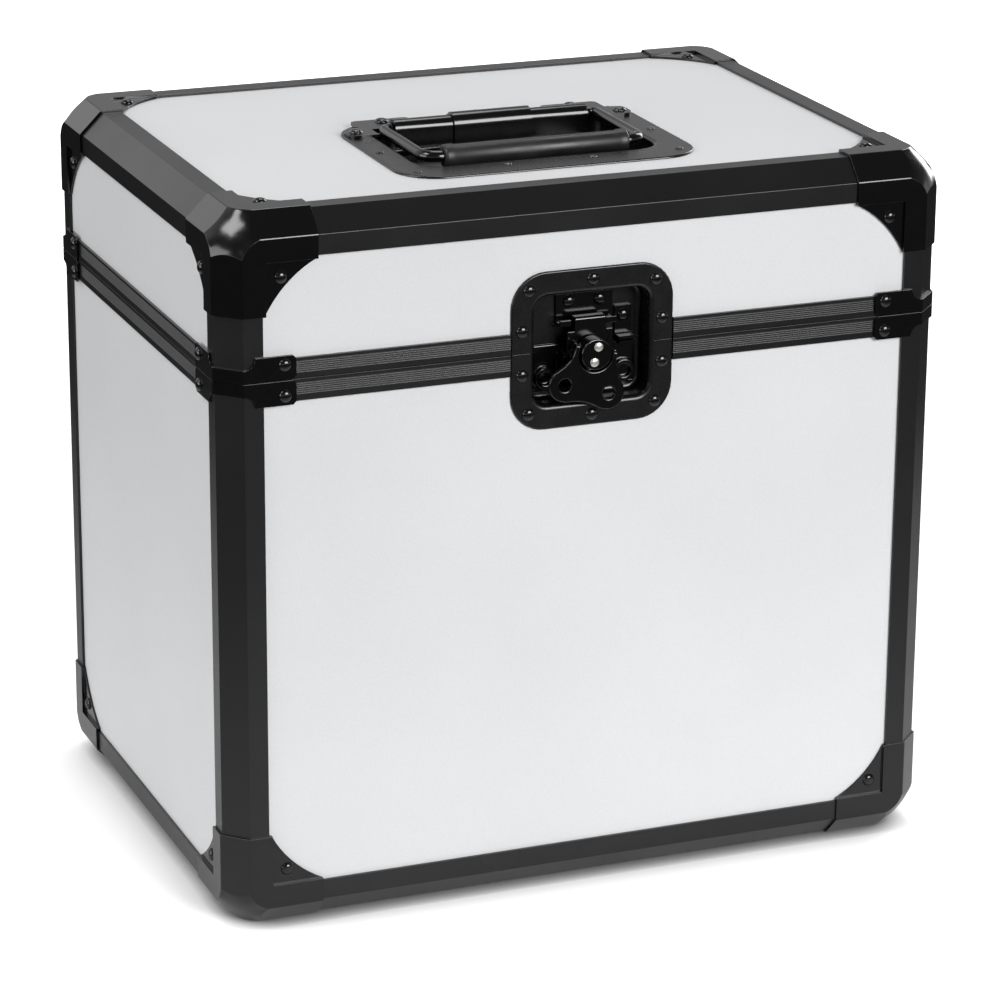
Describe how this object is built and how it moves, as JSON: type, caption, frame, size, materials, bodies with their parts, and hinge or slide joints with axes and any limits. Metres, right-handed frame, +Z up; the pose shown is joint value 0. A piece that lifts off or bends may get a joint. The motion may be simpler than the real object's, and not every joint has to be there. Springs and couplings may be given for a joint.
{
  "type": "record carrying case",
  "caption": "Box-shaped carrying case for records with metal edges, pressed corners, a hinged lid, a recessed twist latch and a recessed sprung handle.",
  "frame": {"origin": "centre of the footprint, on the surface that the case stands on", "axes": "+X to the right seen from the latch side, +Y from the latch side to the hinge side, +Z up"},
  "size_m": [0.3808, 0.2904, 0.3666],
  "materials": {
    "panel_laminate": "satin",
    "edge_aluminium": "satin",
    "corner_steel": "gloss",
    "dish_steel": "satin",
    "lining_foam": "matte",
    "rivet_black": "gloss",
    "rivet_bright": "satin",
    "stud_bright": "satin",
    "grip_rubber": "satin",
    "hinge_steel": "satin",
    "handle_steel": "satin",
    "latch_steel": "satin"
  },
  "bodies": {
    "base": {"base_braces": "corner_steel", "base_floor_lining": "lining_foam", "base_lining": "lining_foam", "base_panel_back": "panel_laminate", "base_panel_bottom": "panel_laminate", "base_panel_front": "panel_laminate", "base_panel_left": "panel_laminate", "base_panel_right": "panel_laminate", "base_posts": "edge_aluminium", "base_rim_back": "edge_aluminium", "base_rim_front": "edge_aluminium", "base_rim_left": "edge_aluminium", "base_rim_right": "edge_aluminium", "base_rivets": "rivet_black", "bottom_corners_back": "corner_steel", "bottom_corners_front": "corner_steel", "bottom_edges": "edge_aluminium", "hinge_leaves_base": "hinge_steel", "hinge_pins": "hinge_steel", "latch_dish_base": "dish_steel", "latch_frame": "latch_steel", "latch_rivets_base": "rivet_black"},
    "lid": {"handle_bracket": "handle_steel", "handle_dish": "dish_steel", "handle_rivets": "rivet_bright", "hinge_leaves_lid": "hinge_steel", "latch_dish_lid": "dish_steel", "latch_lock_tab": "latch_steel", "latch_rivets_lid": "rivet_black", "latch_strike": "latch_steel", "lid_braces": "corner_steel", "lid_lining": "lining_foam", "lid_panel_back": "panel_laminate", "lid_panel_front": "panel_laminate", "lid_panel_left": "panel_laminate", "lid_panel_right": "panel_laminate", "lid_panel_top": "panel_laminate", "lid_posts": "edge_aluminium", "lid_rim_back": "edge_aluminium", "lid_rim_front": "edge_aluminium", "lid_rim_left": "edge_aluminium", "lid_rim_right": "edge_aluminium", "lid_rivets": "rivet_black", "lid_top_lining": "lining_foam", "top_corners_back": "corner_steel", "top_corners_front": "corner_steel", "top_edges": "edge_aluminium"},
    "handle_bail": {"handle_bail": "handle_steel", "handle_grip": "grip_rubber"},
    "latch_hub": {"latch_hub": "latch_steel", "latch_hub_studs": "stud_bright", "latch_wing_pin": "latch_steel"},
    "latch_wing": {"latch_wing": "latch_steel"},
    "latch_hook": {"latch_hook": "latch_steel"}
  },
  "joints": [
    {"name": "lid_hinge", "type": "hinge", "parent": "base", "child": "lid", "pos_m": [0, 0.14065, 0.2797], "axis": [-1, 0, 0], "range_deg": [0, 92]},
    {"name": "handle_swing", "type": "hinge", "parent": "lid", "child": "handle_bail", "pos_m": [0, 0, 0.3604], "axis": [-1, 0, 0], "range_deg": [0, 90], "stiffness_Nm_per_rad": 0.08, "springref_deg": -17.19},
    {"name": "latch_turn", "type": "hinge", "parent": "base", "child": "latch_hub", "pos_m": [0, -0.137, 0.2771], "axis": [0, -1, 0], "range_deg": [0, 180]},
    {"name": "wing_fold", "type": "hinge", "parent": "latch_hub", "child": "latch_wing", "pos_m": [0, -0.138, 0.2771], "axis": [-0.9659, 0, 0.2588], "range_deg": [0, 90]},
    {"name": "hook_slide", "type": "slide", "parent": "base", "child": "latch_hook", "axis": [0, 0, 1], "range_m": [0, 0.006]}
  ],
  "couplings": [
    {"joint": "hook_slide", "follows": "latch_turn", "m_per_rad": 0.0019099}
  ]
}
